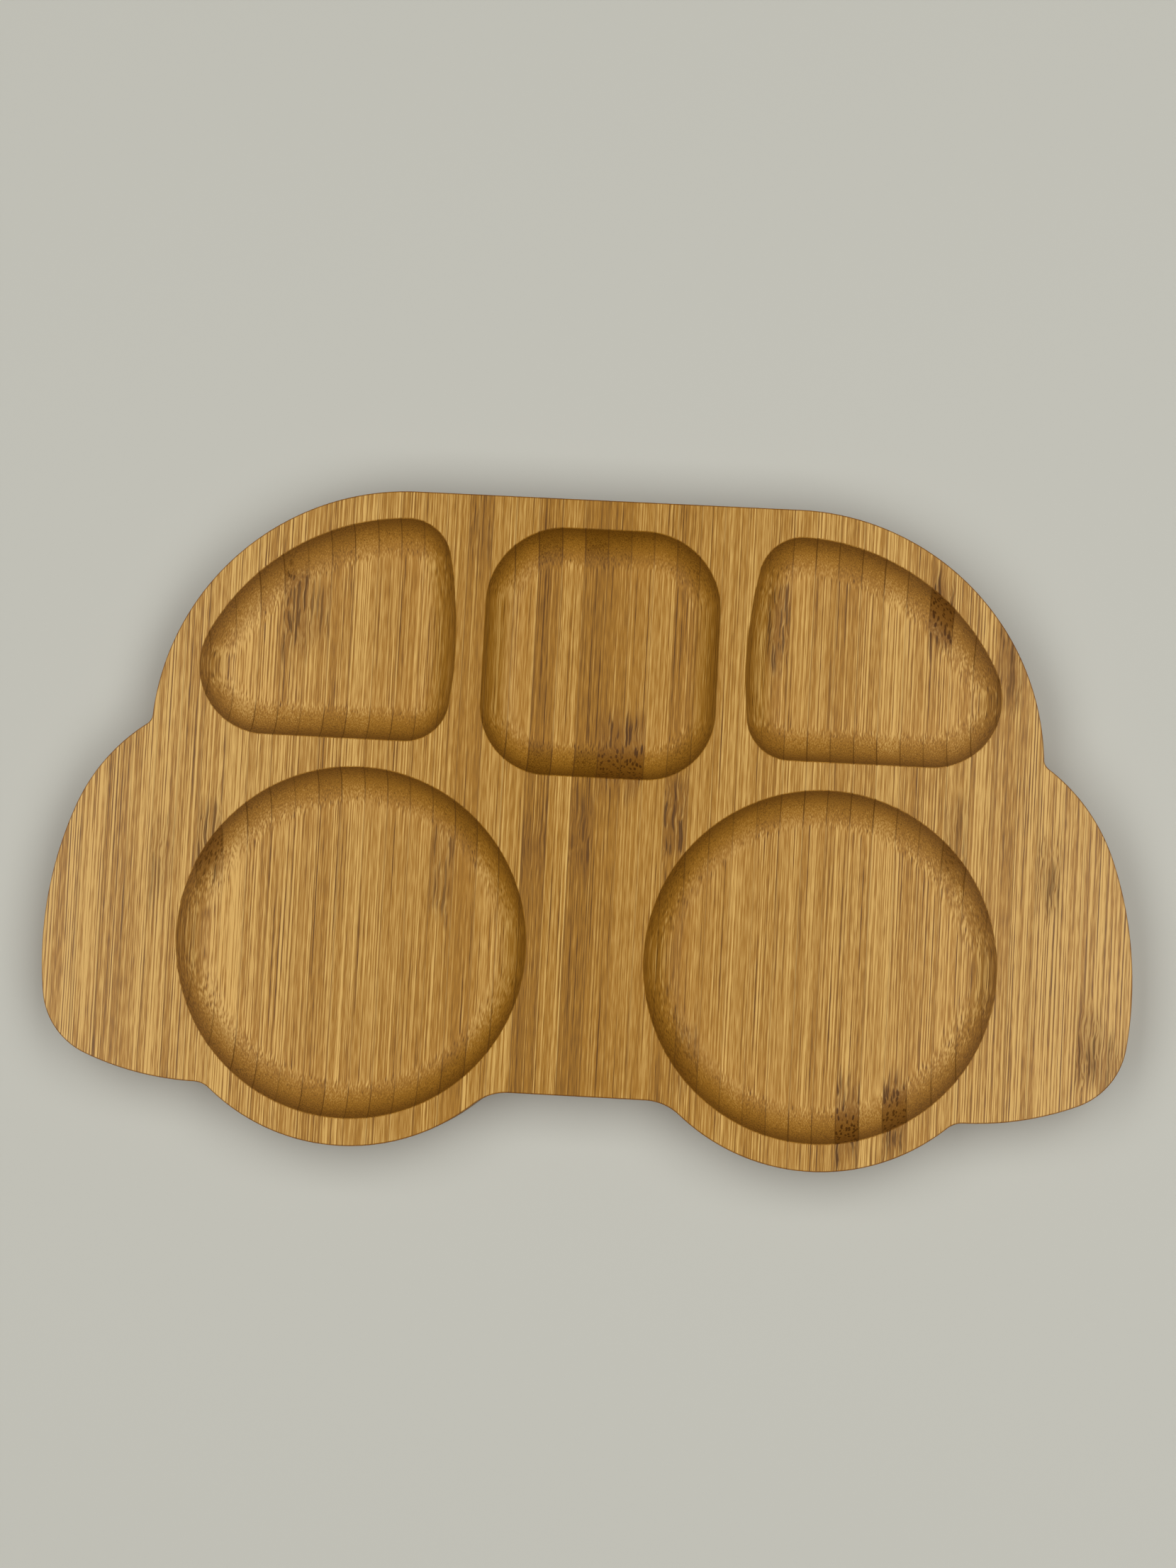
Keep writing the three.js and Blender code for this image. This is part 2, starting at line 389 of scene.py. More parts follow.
rims = edges_of(car_top)
for outline in wells:
    floor_ring, rim_ring = add_rings(outline, well_section)
    board.faces.new(floor_ring)
    rims += edges_of(rim_ring)
bmesh.ops.triangle_fill(board, edges=rims, use_beauty=True, normal=(0, 0, 1))
bmesh.ops.triangle_fill(board, edges=edges_of(underside), use_beauty=True, normal=(0, 0, -1))
bmesh.ops.recalc_face_normals(board, faces=board.faces)
open_edges = sum(not edge.is_manifold for edge in board.edges)
volume = board.calc_volume() / MM**3
print(f"board: {len(board.faces)} faces, {open_edges} open edges, {volume:.0f} mm3")

# %% [markdown]
# ## Seams
#
# On the real tray the strips were glued first and routed together, so their seams cross the wells. Strips
# could be modelled one by one, but cutting the finished board at its seams gives each strip its own ends and
# its own slice of every well, as the router did. The seams come from the frame: each lies midway between two
# neighbouring CAD strips. The strips touch here, because glue fills the gap that the CAD model leaves.

# %% Saw the board at its seams
ON_THE_CUT = 1e-7  # metres from the plane
names = sorted(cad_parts)
boxes = [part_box(name) for name in names]
seams = [(left[1].x + right[0].x) / 2 for left, right in zip(boxes, boxes[1:])]
for x in seams:
    everything = board.verts[:] + board.edges[:] + board.faces[:]
    bmesh.ops.bisect_plane(board, geom=everything, dist=ON_THE_CUT, plane_co=(x, 0, 0), plane_no=(1, 0, 0))
faces_of = [[] for _ in names]
for face in board.faces:
    faces_of[bisect(seams, face.calc_center_median().x)].append(face)
print(f"{len(seams)} seams, {len(board.faces)} faces after the cuts")

# %% [markdown]
# ## A closed mesh for each strip
#
# A strip is the faces between two seams, copied into a mesh of its own and capped where it was cut. Blender's
# Separate command could part the strips too, but it works on selections and leaves the cuts open. The caps
# stay flat, and the rest is shaded smooth.

# %% A closed mesh for each strip
def strip_mesh(name, faces):
    """A closed mesh of these faces of the board, with flat sides where it was cut."""
    piece = bmesh.new()
    piece_facing = piece.verts.layers.float_vector.new("facing")
    piece_wear_and_shade = piece.verts.layers.float.new("edge_wear_and_shade")
    copies = {}
    for face in faces:
        for vert in face.verts:
            if vert not in copies:
                copies[vert] = piece.verts.new(vert.co)
                copies[vert][piece_facing] = vert[facing]
                copies[vert][piece_wear_and_shade] = vert[edge_wear_and_shade]
        piece.faces.new([copies[vert] for vert in face.verts]).smooth = True
    cuts = [edge for edge in piece.edges if edge.is_boundary]
    bmesh.ops.holes_fill(piece, edges=cuts)
    bmesh.ops.recalc_face_normals(piece, faces=piece.faces)
    assert all(edge.is_manifold for edge in piece.edges), name
    mesh = bpy.data.meshes.new(name)
    piece.to_mesh(mesh)
    piece.free()
    return mesh


meshes = [strip_mesh(name, faces) for name, faces in zip(names, faces_of)]
board.free()
print(f"{len(meshes)} closed meshes, {sum(len(mesh.polygons) for mesh in meshes)} faces")

# %% [markdown]
# ## Even highlights
#
# Sandpaper left the real edges even. Blender averages the faces round a point to shade it smooth, and so the
# cuts would show as faint bends in every highlight. The directions that travelled with the points come from
# the outlines and sections themselves, so they become custom normals. A zero vector leaves the flat caps as
# they are.

# %% Even highlights
for mesh in meshes:
    facing_of = [row.vector.copy() for row in mesh.attributes["facing"].data]
    mesh.attributes.remove(mesh.attributes["facing"])
    corners = []
    for polygon in mesh.polygons:
        corners += [facing_of[v] if polygon.use_smooth else Vector((0, 0, 0)) for v in polygon.vertices]
    mesh.normals_split_custom_set(corners)
print(f"exact normals on {sum(len(mesh.loops) for mesh in meshes)} corners")

# %% [markdown]
# ## What each strip grew like
#
# A strip is a slice through the wall of a bamboo cane. Strips differ in tone and in how bold their fibres
# are, and those near the tray's tips are bolder, with painted light that draws them lighter and a painted
# sheen that draws them greyer. About half of them hold a growth ring, where fibres swirl and darken for a
# finger's width. Every strip could get a material of its own, but 48 hand-made ones would be hard to keep
# alike. So each gets a few numbers instead. The rings' places are listed, and the rest is random, from a seed
# picked so that dark and light strips fall about as on the tray.

# %% What each strip grew like
GROWTH_RINGS = {  # strip: (height of the ring on the tray in mm, how dark it is)
    6: (-13, 0.5), 8: (-8, 0.7), 11: (51, 0.8), 12: (50, 0.6), 18: (-12, 0.6), 19: (72, 0.4),
    22: (-6, 0.5), 24: (-1, 0.7), 25: (19, 0.9), 26: (20, 1.0), 28: (4, 0.9), 29: (-54, 0.4),
    32: (53, 0.8), 36: (-70, 1.0), 38: (-67, 0.9), 39: (59, 1.0), 40: (2, 0.5), 42: (47, 0.7),
    44: (-7, 0.6), 46: (-47, 0.8), 47: (-54, 0.6),
}
NO_RING = (1000, 0)  # a ring this far away never shows
SEED = 300825609
FARTHEST_SHIFT = 400  # mm, so that no two strips share a pattern
TONE_SPREAD = 0.75
LEAST_BOLD, MOST_BOLD = 0.5, 0.9
FAINTEST_SEAM, DARKEST_SEAM = 0.2, 0.6
# Towards the tips the strips are drawn lighter and greyer as painted light: a painted brightening and a
# painted sheen.
TIP_PAINTED_LIGHT = 2.6  # how much lighter the strips at the tips are than those in the middle
TIP_BOLD = 2.5  # how much bolder their streaks are
TIP_PAINTED_SHEEN = 0.18  # how much greyer they are
Growth = namedtuple("Growth", "shift tone bold seam_dark pale ring_y ring_dark")
chance = random.Random(SEED)
growth = []
for number in range(1, len(names) + 1):
    shift = [chance.uniform(-FARTHEST_SHIFT, FARTHEST_SHIFT) for _ in range(3)]
    from_mid = abs(2 * number / len(names) - 1)  # 0 in the middle of the tray, 1 at its tips
    # A strip's tone is random, plus painted light that grows towards the tips, and its paleness is a painted
    # sheen.
    tone = chance.gauss(0, TONE_SPREAD) + TIP_PAINTED_LIGHT * from_mid * (2 - from_mid)
    bold = chance.uniform(LEAST_BOLD, MOST_BOLD) + TIP_BOLD * from_mid**2
    seam_dark = chance.uniform(FAINTEST_SEAM, DARKEST_SEAM)
    pale = TIP_PAINTED_SHEEN * from_mid**2
    growth.append(Growth(shift, tone, bold, seam_dark, pale, *GROWTH_RINGS.get(number, NO_RING)))
print(f"{len(GROWTH_RINGS)} of {len(names)} strips hold a growth ring")

# %% [markdown]
# ## Growth stored on the meshes
#
# A material reads what a mesh carries on its points, so each strip's numbers are stored there, and one
# material can dress them all. A point's place goes along in plain millimetres: `grain` is its place in the
# wood, shifted for each strip so that no streak runs across a seam, and `on_strip` is how far it lies from
# the strip's middle and from its growth ring. UV maps would need unwrapping and would stretch in the coves.

# %% Growth stored on the meshes
def store(mesh, name, kind, field, rows):
    """Stores one row for each point of a mesh."""
    mesh.attributes.new(name, kind, "POINT").data.foreach_set(field, np.ravel(rows))


pitch = (seams[-1] - seams[0]) / (len(seams) - 1)
for index, (mesh, grown) in enumerate(zip(meshes, growth)):
    middle = seams[0] + (index - 0.5) * pitch  # the first strip ends at the first seam
    points = np.array([vert.co for vert in mesh.vertices]) / MM
    off_middle = points[:, 0] - middle / MM
    off_ring = points[:, 1] - grown.ring_y
    ring_dark = np.full(len(points), grown.ring_dark)
    look = np.tile((grown.tone, grown.bold, grown.seam_dark), (len(points), 1))
    store(mesh, "grain", "FLOAT_VECTOR", "vector", points + grown.shift)
    store(mesh, "on_strip", "FLOAT_VECTOR", "vector", np.column_stack([off_middle, off_ring, ring_dark]))
    store(mesh, "growth", "FLOAT_VECTOR", "vector", look)
    # The painted sheen of the strips near the tips is stored here as well.
    store(mesh, "pale", "FLOAT", "value", np.full(len(points), grown.pale))
print(f"strips of {pitch / MM:.2f} mm carry", list(meshes[0].attributes.keys()))

# %% [markdown]
# ## Strips as separate pieces
#
# The real strips are separate pieces that glue holds together, so each stays an object of its own. They
# could be joined into one mesh to look the same, but then the CAD model's pieces would have no counterpart.
# Each strip rides on the tray's one body, takes the bamboo finish and stands in for its CAD strip.

# %% Strips as separate pieces
strips = []
for name, mesh in zip(names, meshes):
    strip = bpy.data.objects.new(f"bamboo_{name}", mesh)
    bpy.context.scene.collection.objects.link(strip)
    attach(strip, "root")
    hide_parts(name)
    strips.append(strip)
print(f"{len(strips)} pieces, from {strips[0].name} to {strips[-1].name}")

# %% [markdown]
# ## Colours and nodes
#
# Colours are written as the sRGB hex codes that a paint program shows, and shaders reckon in linear light, so
# one function turns the first into the second. Nodes could be wired by hand in the editor. Here one function
# adds a node with its settings and links its inputs, so that a material reads like a recipe.

# %% Colours and nodes
def linear(code):
    """An sRGB hex colour as linear RGBA, by the numbers of the sRGB standard."""
    parts = [int(code[i : i + 2], 16) / 255 for i in (1, 3, 5)]
    return [c / 12.92 if c <= 0.04045 else ((c + 0.055) / 1.055) ** 2.4 for c in parts] + [1]


def add(tree, kind, inputs, **settings):
    """Adds a node with its settings. An input takes a node's first output, a chosen output or a value."""
    made = tree.nodes.new(kind)
    for name, value in settings.items():
        setattr(made, name, value)
    for key, value in inputs.items():
        if isinstance(value, bpy.types.Node):
            value = value.outputs[0]
        if isinstance(value, bpy.types.NodeSocket):
            tree.links.new(value, made.inputs[key])
        else:
            made.inputs[key].default_value = value
    return made


print(f"middle grey #808080 is {linear('#808080')[0]:.3f} in linear light")

# %% [markdown]
# ## Bamboo: where a point lies
#
# Bamboo is long fibre bundles in a paler ground. On the board's top the bundles lie along the surface and
# show as streaks. On a wall that faces along them they are cut across and show as dots, and less light comes
# out of it. Two materials would need a border between them. One solid pattern, stretched along the fibres,
# gives both by itself, and how a face lies towards the fibres and towards level says how strongly.

# %% Bamboo: where a point lies
# Planed, sanded and oiled bamboo: a warm brown with fine streaks and a low satin sheen.
bamboo = bpy.data.materials.new("oiled_edge_grain_bamboo")
bamboo.use_nodes = True
tree = bamboo.node_tree
tree.nodes.clear()
grain, on_strip, growth_here = [
    add(tree, "ShaderNodeAttribute", {}, attribute_name=name).outputs["Vector"]
    for name in ("grain", "on_strip", "growth")
]
strip_place = add(tree, "ShaderNodeSeparateXYZ", {0: on_strip}).outputs
strip_look = add(tree, "ShaderNodeSeparateXYZ", {0: growth_here}).outputs
# A strip's tone holds its random tone plus the painted light at the tips.
tone_and_light_here, bold_here, seam_dark_here = strip_look["X"], strip_look["Y"], strip_look["Z"]
ENDS_BEGIN, ENDS_ONLY = 0.04, 0.42  # how squarely a face cuts the fibres
LEVEL, WALL = 0.95, 0.35  # how level a face is
normal = add(tree, "ShaderNodeNewGeometry", {}).outputs["Normal"]
normal = add(tree, "ShaderNodeSeparateXYZ", {0: normal}).outputs
square = add(tree, "ShaderNodeMath", {0: normal["Y"]}, operation="ABSOLUTE")
end_grain = add(
    tree,
    "ShaderNodeMapRange",
    {"Value": square, "From Min": ENDS_BEGIN, "From Max": ENDS_ONLY},
    interpolation_type="SMOOTHSTEP",
)
level = add(tree, "ShaderNodeMath", {0: normal["Z"]}, operation="ABSOLUTE")
steep = add(
    tree,
    "ShaderNodeMapRange",
    {"Value": level, "From Min": LEVEL, "From Max": WALL},
    interpolation_type="SMOOTHSTEP",
)
print(f"{bamboo.name}: {len(tree.nodes)} nodes tell where a point lies")

# %% [markdown]
# ## Bamboo: growth ring
#
# A cane has a ring where a leaf once grew. In a strip it is a brown patch about a finger wide, whose ends are
# ragged, because each tuft of fibres leaves it at its own height. A painted mask would need an image. Here
# the distance to the ring is upset by noise as wide as a tuft, and fades out over some millimetres.

# %% Bamboo: growth ring
RING_BROWN, RING_END = 5, 13  # mm from its middle: brown up to here, and none from here
RAGGED = 9  # mm that its ends wander
TUFT = (1.6, 14)  # mm across the fibres and along them


def per_mm(width, length):
    """Scales millimetres to a pattern this wide across the fibres and this long along them."""
    return (1 / width, 1 / length, 1 / width)


tuft_at = add(tree, "ShaderNodeVectorMath", {0: grain, 1: per_mm(*TUFT)}, operation="MULTIPLY")
tuft = add(tree, "ShaderNodeTexNoise", {"Vector": tuft_at, "Scale": 1, "Detail": 1})
ragged = add(tree, "ShaderNodeMath", {0: tuft, 1: 2 * RAGGED, 2: -RAGGED}, operation="MULTIPLY_ADD")
from_ring = add(tree, "ShaderNodeMath", {0: strip_place["Y"], 1: ragged}, operation="ADD")
from_ring = add(tree, "ShaderNodeMath", {0: from_ring}, operation="ABSOLUTE")
in_ring = add(
    tree,
    "ShaderNodeMapRange",
    {"Value": from_ring, "From Min": RING_BROWN, "From Max": RING_END, "To Min": 1, "To Max": 0},
    interpolation_type="SMOOTHSTEP",
)
in_ring = add(tree, "ShaderNodeMath", {0: in_ring, 1: strip_place["Z"]}, operation="MULTIPLY")
print(f"growth ring: brown for {2 * RING_BROWN} mm, ends ragged by {RAGGED} mm")

# %% [markdown]
# ## Bamboo: how the fibres run
#
# Fibres run almost straight along a strip and swerve where they pass a growth ring. Bending the mesh would
# bend the strip with it. It is enough to bend the places that the patterns below are read at: a little
# everywhere, and by more than a millimetre in a ring.

# %% Bamboo: how the fibres run
EDDY = (4, 7)  # mm across the fibres and along them
SWERVE, RING_SWERVE = 0.05, 1.6  # mm everywhere, and mm more in a growth ring
MID_NOISE = 0.5  # noise swings about this
eddy_at = add(tree, "ShaderNodeVectorMath", {0: grain, 1: per_mm(*EDDY)}, operation="MULTIPLY")
eddy = add(tree, "ShaderNodeTexNoise", {"Vector": eddy_at, "Scale": 1, "Detail": 1}).outputs["Color"]
eddy = add(tree, "ShaderNodeVectorMath", {0: eddy, 1: [MID_NOISE] * 3}, operation="SUBTRACT")
swerve = add(tree, "ShaderNodeMath", {0: in_ring, 1: RING_SWERVE, 2: SWERVE}, operation="MULTIPLY_ADD")
stray = add(tree, "ShaderNodeVectorMath", {0: eddy, "Scale": swerve}, operation="SCALE")
bent = add(tree, "ShaderNodeVectorMath", {0: grain, 1: stray}, operation="ADD")
print(f"fibres stray by {SWERVE} mm, and by {SWERVE + RING_SWERVE} mm in a ring")

# %% [markdown]
# ## Bamboo: streaks
#
# Seen along the surface, fibres are thin dark and light lines, crowded in some bands and sparse in others. A
# wave texture would repeat too evenly. Noise is uneven but too smooth for thin lines, so it is compared with
# itself a third of a millimetre aside: the difference has the thin lines, and wider noise crowds them.

# %% Bamboo: streaks
# All sizes are mm across the fibres and along them. A fibre is 0.02 mm wide, far too fine to show in the
# render, so streaks are drawn as coarse as they need to show.
FINE = (0.3, 60)
ASIDE = 0.36  # mm
BAND = (1.3, 150)
SPARSE, CROWDED = 0.35, 0.65  # noise of the bands
FAINT, STRONG = 0.2, 1.4  # fine streaks in such bands
BAND_SHOWS = 0.6
fine_at = add(tree, "ShaderNodeVectorMath", {0: bent, 1: per_mm(*FINE)}, operation="MULTIPLY")
fine = add(tree, "ShaderNodeTexNoise", {"Vector": fine_at, "Scale": 1, "Detail": 1})
aside_at = add(tree, "ShaderNodeVectorMath", {0: fine_at, 1: (ASIDE / FINE[0], 0, 0)}, operation="ADD")
aside = add(tree, "ShaderNodeTexNoise", {"Vector": aside_at, "Scale": 1, "Detail": 1})
band_at = add(tree, "ShaderNodeVectorMath", {0: bent, 1: per_mm(*BAND)}, operation="MULTIPLY")
band = add(tree, "ShaderNodeTexNoise", {"Vector": band_at, "Scale": 1, "Detail": 1})
crowd = add(
    tree,
    "ShaderNodeMapRange",
    {"Value": band, "From Min": SPARSE, "From Max": CROWDED, "To Min": FAINT, "To Max": STRONG},
)
streak = add(tree, "ShaderNodeMath", {0: fine, 1: aside}, operation="SUBTRACT")
streak = add(tree, "ShaderNodeMath", {0: streak, 1: crowd}, operation="MULTIPLY")
streak = add(tree, "ShaderNodeMath", {0: band, 1: BAND_SHOWS, 2: streak}, operation="MULTIPLY_ADD")
streak = add(tree, "ShaderNodeMath", {0: streak, 1: BAND_SHOWS * MID_NOISE}, operation="SUBTRACT")
print(f"streaks {FINE[0]} mm wide in bands of {BAND[0]} mm")

# %% [markdown]
# ## Bamboo: flecks and bundles
#
# Planing breaks fibres off here and there, which leaves short flecks. The bundles themselves are about half a
# millimetre apart, and where a wall cuts them across they are its dark dots. Noise makes the flecks. Dots
# need rounded cells, which is what a Voronoi pattern has, and stretched along the fibres it makes rods that
# are dots on one face and lines on the other.

# %% Bamboo: flecks and bundles
FLECK = (0.26, 5)  # mm; broken fibres are 2 to 3 mm long and are drawn longer to show
BUNDLE = (0.62, 70)  # mm from one bundle to the next, and mm along one
BUNDLE_CORE, BUNDLE_EDGE = 0.08, 0.36  # of that distance, from a bundle's middle
fleck_at = add(tree, "ShaderNodeVectorMath", {0: bent, 1: per_mm(*FLECK)}, operation="MULTIPLY")
fleck = add(tree, "ShaderNodeTexNoise", {"Vector": fleck_at, "Scale": 1, "Detail": 1})
fleck = add(tree, "ShaderNodeMath", {0: fleck, 1: MID_NOISE}, operation="SUBTRACT")
bundle_at = add(tree, "ShaderNodeVectorMath", {0: bent, 1: per_mm(*BUNDLE)}, operation="MULTIPLY")
bundle = add(tree, "ShaderNodeTexVoronoi", {"Vector": bundle_at, "Scale": 1})
bundle = add(
    tree,
    "ShaderNodeMapRange",
    {"Value": bundle, "From Min": BUNDLE_CORE, "From Max": BUNDLE_EDGE, "To Min": 1, "To Max": 0},
    interpolation_type="SMOOTHSTEP",
)
print(f"flecks {FLECK[1]} mm long, bundles {BUNDLE[0]} mm apart")

# %% [markdown]
# ## Bamboo: how strongly patterns show
#
# The patterns run through the whole board, but they don't show alike everywhere. Streaks and tones fade on
# walls and fibre ends, flecks are stronger on bold strips, and a bundle that is cut across has less contrast
# than one that lies along the surface. A second set of patterns for the walls would do that too. It is less
# work to give each pattern a strength that changes with how the surface faces.

# %% Bamboo: how strongly patterns show
ENDS_CALM, WALL_CALM = 0.8, 0.4  # how much fainter streaks are there
# The tips' painted light belongs on level faces, so walls take a smaller step of tone.
TONE, WALL_TONE = 0.085, 0.015  # a step of tone on level faces and on walls
FLECK_SHOWS, FLECK_BOLD = 0.55, 0.25  # on every strip, and more on a bold one
BUNDLE_DARK, ENDS_BUNDLE_DARK = 0.42, 0.17  # along the surface, and cut across
calm = add(tree, "ShaderNodeMath", {0: end_grain, 1: -ENDS_CALM, 2: 1}, operation="MULTIPLY_ADD")
calm = add(
    tree,
    "ShaderNodeMath",
    {0: steep, 1: -WALL_CALM, 2: calm},
    operation="MULTIPLY_ADD",
    use_clamp=True,
)
tone_step = add(tree, "ShaderNodeMath", {0: steep, 1: WALL_TONE - TONE, 2: TONE}, operation="MULTIPLY_ADD")
fleck_step = add(
    tree,
    "ShaderNodeMath",
    {0: bold_here, 1: FLECK_BOLD, 2: FLECK_SHOWS},
    operation="MULTIPLY_ADD",
)
bundle_step = add(
    tree,
    "ShaderNodeMath",
    {0: end_grain, 1: BUNDLE_DARK - ENDS_BUNDLE_DARK, 2: -BUNDLE_DARK},
    operation="MULTIPLY_ADD",
)
calm_streak = add(tree, "ShaderNodeMath", {0: streak, 1: calm}, operation="MULTIPLY")
print(f"a step of tone is {TONE} on level faces and {WALL_TONE} on walls")

# %% [markdown]
# ## Bamboo: light and dark
#
# One number says how light the wood is at a point: half-way for the plain ground, moved up and down by
# streaks, the strip's own tone with the painted light at the tips, flecks and bundles. Each pattern could mix
# a colour of its own, but on the real tray they all lie on one scale from dark fibre to pale ground, so they
# are added up. Fibre ends are darker, partly because oil soaks deeper into them and partly as painted shade,
# and steep walls are darker as painted shade.

# %% Bamboo: light and dark
GROUND_AT = 0.5  # plain ground, half-way from dark to pale
# End grain is darker partly from oil and partly as painted shade, and steep walls are darker as painted
# shade.
ENDS_DARK_AND_SHADE, WALL_PAINTED_SHADE = 0.15, 0.13
shade = GROUND_AT
for pattern, step in [
    (calm_streak, bold_here),
    (tone_and_light_here, tone_step),
    (fleck, fleck_step),
    (bundle, bundle_step),
    (end_grain, -ENDS_DARK_AND_SHADE),
    (steep, -WALL_PAINTED_SHADE),
]:
    shade = add(tree, "ShaderNodeMath", {0: pattern, 1: step, 2: shade}, operation="MULTIPLY_ADD")
print(f"{len(tree.nodes)} nodes so far")

# %% [markdown]
# ## Bamboo: colour of the wood
#
# The wood is caramel, as steamed bamboo is: dark brown fibres in a golden ground. A plain mix of two colours
# would pass through a dull middle, so a ramp has the ground's own colour half-way. Strips near the tips get a
# grey painted sheen. That is the first of a few colours, real stains and painted light, which are listed here
# and laid over the wood at the end.

# %% Bamboo: colour of the wood
DARK_FIBRE, GROUND, PALE_GROUND = "#5e3800", "#a37120", "#d9ad5e"
# A pale grey painted sheen, laid over the strips near the tips.
PAINTED_SHEEN_GREY = "#d8b48c"
wood = add(tree, "ShaderNodeValToRGB", {0: shade})
wood.color_ramp.elements[0].color = linear(DARK_FIBRE)
wood.color_ramp.elements[1].color = linear(PALE_GROUND)
wood.color_ramp.elements.new(GROUND_AT).color = linear(GROUND)
painted_sheen_amount = add(tree, "ShaderNodeAttribute", {}, attribute_name="pale").outputs["Fac"]
stains_and_painted_light = [(painted_sheen_amount, PAINTED_SHEEN_GREY)]  # how much of it, and its colour
print(f"ramp from {DARK_FIBRE} over {GROUND} to {PALE_GROUND}")

# %% [markdown]
# ## Bamboo: brown of a growth ring
#
# A growth ring browns the wood all over and much more in dashes, where bundles swerve and the plane cut
# through them. Darkening the ramp would only give darker streaks. So the ring gets a brown stain, and a
# coarser Voronoi pattern of the same kind as the bundles gets a darker one.

# %% Bamboo: brown of a growth ring
RING_STAIN, DASH_STAIN = "#74480f", "#523004"
PATCH, ENDS_PATCH = 0.45, 0.7  # on level faces and on fibre ends
DASH_SHOWS, ENDS_DASH_SHOWS = 0.95, 1
DASH = (0.8, 18)  # mm across the fibres and along them
DASH_CORE, DASH_EDGE = 0.28, 0.46  # of its width, from a dash's middle
patch = add(tree, "ShaderNodeMath", {0: end_grain, 1: ENDS_PATCH - PATCH, 2: PATCH}, operation="MULTIPLY_ADD")
patch = add(tree, "ShaderNodeMath", {0: patch, 1: in_ring}, operation="MULTIPLY")
dash_at = add(tree, "ShaderNodeVectorMath", {0: bent, 1: per_mm(*DASH)}, operation="MULTIPLY")
dash = add(tree, "ShaderNodeTexVoronoi", {"Vector": dash_at, "Scale": 1})
dash = add(
    tree,
    "ShaderNodeMapRange",
    {"Value": dash, "From Min": DASH_CORE, "From Max": DASH_EDGE, "To Min": 1, "To Max": 0},
    interpolation_type="SMOOTHSTEP",
)
dash_step = add(
    tree,
    "ShaderNodeMath",
    {0: end_grain, 1: ENDS_DASH_SHOWS - DASH_SHOWS, 2: DASH_SHOWS},
    operation="MULTIPLY_ADD",
)
dash = add(tree, "ShaderNodeMath", {0: dash, 1: dash_step}, operation="MULTIPLY")
dash = add(tree, "ShaderNodeMath", {0: dash, 1: in_ring}, operation="MULTIPLY", use_clamp=True)
stains_and_painted_light += [(patch, RING_STAIN), (dash, DASH_STAIN)]
print(f"dashes {DASH[0]} mm wide and {DASH[1]} mm long in a ring")

# %% [markdown]
# ## Bamboo: glue seams and sanded edges
#
# A seam is a thin brown line of glue, some darker than others, and it shows most on fibre ends, which drink
# it up. Sanding opened the fibres on the outer edges, and oil turned them a reddish brown; that colour is
# also painted shade where the rounded edge turns away from the light. Both could be modelled as thin strips,
# but they have no depth to speak of, so they are laid on as colours: one by the distance to the strip's side,
# and one by the wear and painted shade that the board's points carry.

# %% Bamboo: glue seams and sanded edges
# The edge colour is partly oil in opened fibres and partly painted shade where the rounded edge turns from
# the light.
GLUE_STAIN, EDGE_STAIN_AND_SHADE = "#633f12", "#7a4a22"
GLUE_EDGE, GLUE_FULL = 0.25, 0.05  # mm from the seam; real glue is 0.1 mm wide and is drawn wider to show
SEAM_SHOWS = 0.75  # on level faces, and 1 more on fibre ends
half_strip = pitch / 2 / MM
from_middle = add(tree, "ShaderNodeMath", {0: strip_place["X"]}, operation="ABSOLUTE")
glue = add(
    tree,
    "ShaderNodeMapRange",
    {"Value": from_middle, "From Min": half_strip - GLUE_EDGE, "From Max": half_strip - GLUE_FULL},
    interpolation_type="SMOOTHSTEP",
)
glue_step = add(tree, "ShaderNodeMath", {0: end_grain, 1: SEAM_SHOWS}, operation="ADD")
glue_step = add(tree, "ShaderNodeMath", {0: glue_step, 1: seam_dark_here}, operation="MULTIPLY")
glue = add(tree, "ShaderNodeMath", {0: glue, 1: glue_step}, operation="MULTIPLY", use_clamp=True)
# The wear on the outer edges also carries painted shade.
worn_and_shaded = add(tree, "ShaderNodeAttribute", {}, attribute_name="edge_wear_and_shade").outputs["Fac"]
stains_and_painted_light += [(glue, GLUE_STAIN), (worn_and_shaded, EDGE_STAIN_AND_SHADE)]
print(f"{len(stains_and_painted_light)} stains over the wood")

# %% [markdown]
# ## Bamboo: sheen and relief
#
# Hardened oil and wood both bend light like most plastics, with an IOR of 1.5. The oil soaked in and left no
# film, so the sheen is low, and a little smoother on the hard fibres than on the ground. Fibres stand up by
# a few hundredths of a millimetre and cut bundles are pits. That is far too fine for geometry, so it is bump.

# %% Bamboo: sheen and relief
WOOD_IOR = 1.5
SHEEN = 0.2  # a varnish film would have the usual 0.5
GROUND_ROUGH, FIBRE_ROUGH = 0.55, 0.42  # sanded wood is about 0.6, and oil smooths it
PIT = 1.5  # depth of a cut bundle, for each unit of a fibre's height
RELIEF = 0.04 * MM
RELIEF_SHOWS = 0.2
